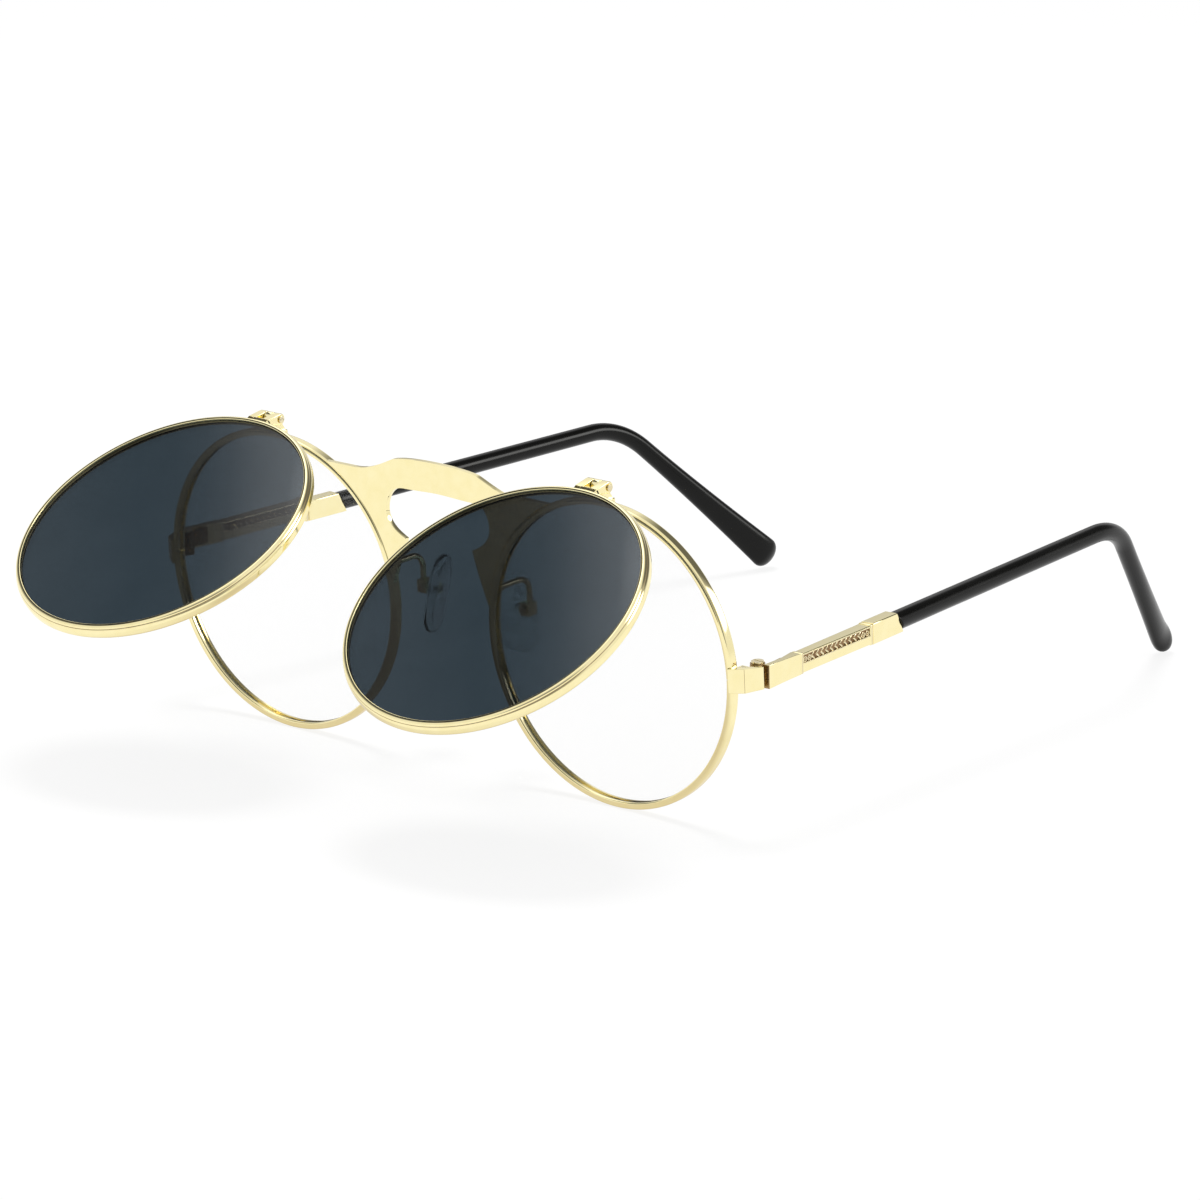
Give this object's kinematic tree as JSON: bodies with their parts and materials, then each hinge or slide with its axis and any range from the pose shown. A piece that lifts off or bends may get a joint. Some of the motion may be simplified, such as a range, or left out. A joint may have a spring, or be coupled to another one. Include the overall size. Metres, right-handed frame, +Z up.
{
  "type": "flip-up spectacles",
  "caption": "Round metal spectacles with clear lenses, hinged temples with black sleeves, nose pads, and dark round lenses on top hinges that flip up.",
  "frame": {"origin": "on the table, midway between the raised flips and the temple tips, in the middle of the front", "axes": "+Z up from the table, +Y back along the temples, +X to the right hand side seen from the front"},
  "size_m": [0.1336, 0.1956, 0.0566],
  "materials": {
    "gold": "polished pale gold plating",
    "screw": "polished pale gold plating",
    "ornament": "pale gold plating with darkened recesses",
    "clear_lens": "clear polished resin",
    "dark_lens": "blue grey tinted polished resin",
    "sleeve": "glossy black plastic",
    "pad": "clear soft silicone"
  },
  "bodies": {
    "front": {"bridge": "gold", "eye_rim_left": "gold", "clear_lens_left": "clear_lens", "end_piece_left": "gold", "rim_lock_left": "gold", "rim_lock_screw_left": "screw", "front_hinge_leaf_left": "gold", "temple_hinge_screw_left": "screw", "pad_arm_left": "gold", "pad_box_left": "gold", "pad_screw_left": "screw", "flip_bracket_left": "gold", "flip_pin_left": "screw", "eye_rim_right": "gold", "clear_lens_right": "clear_lens", "end_piece_right": "gold", "rim_lock_right": "gold", "rim_lock_screw_right": "screw", "front_hinge_leaf_right": "gold", "temple_hinge_screw_right": "screw", "pad_arm_right": "gold", "pad_box_right": "gold", "pad_screw_right": "screw", "flip_bracket_right": "gold", "flip_pin_right": "screw"},
    "flip_left": {"flip_knuckle_left": "gold", "flip_rim_left": "gold", "flip_lens_left": "dark_lens"},
    "temple_left": {"temple_hinge_leaf_left": "gold", "temple_bar_left": "gold", "temple_ornament_left": "ornament", "temple_ferrule_left": "gold", "temple_sleeve_left": "sleeve"},
    "pad_left": {"nose_pad_left": "pad"},
    "flip_right": {"flip_knuckle_right": "gold", "flip_rim_right": "gold", "flip_lens_right": "dark_lens"},
    "temple_right": {"temple_hinge_leaf_right": "gold", "temple_bar_right": "gold", "temple_ornament_right": "ornament", "temple_ferrule_right": "gold", "temple_sleeve_right": "sleeve"},
    "pad_right": {"nose_pad_right": "pad"}
  },
  "joints": [
    {"name": "flip_left_swing", "type": "hinge", "parent": "front", "child": "flip_left", "pos_m": [-0.0367, -0.04875, 0.05546], "axis": [-1, 0, 0], "range_deg": [-63, 32]},
    {"name": "flip_right_swing", "type": "hinge", "parent": "front", "child": "flip_right", "pos_m": [0.0367, -0.04875, 0.05546], "axis": [-1, 0, 0], "range_deg": [-59, 36]},
    {"name": "temple_left_fold", "type": "hinge", "parent": "front", "child": "temple_left", "pos_m": [-0.0643, -0.04101, 0.02708], "axis": [0, 0.0698, -0.9976], "range_deg": [0, 77]},
    {"name": "temple_right_fold", "type": "hinge", "parent": "front", "child": "temple_right", "pos_m": [0.0643, -0.04101, 0.02708], "axis": [0, -0.0698, 0.9976], "range_deg": [0, 52]},
    {"name": "nose_pad_left_rock", "type": "hinge", "parent": "front", "child": "pad_left", "pos_m": [-0.01132, -0.03704, 0.02776], "axis": [0, 0.9976, 0.0698], "range_deg": [-10, 10]},
    {"name": "nose_pad_right_rock", "type": "hinge", "parent": "front", "child": "pad_right", "pos_m": [0.01132, -0.03704, 0.02776], "axis": [0, 0.9976, 0.0698], "range_deg": [-10, 10]}
  ]
}
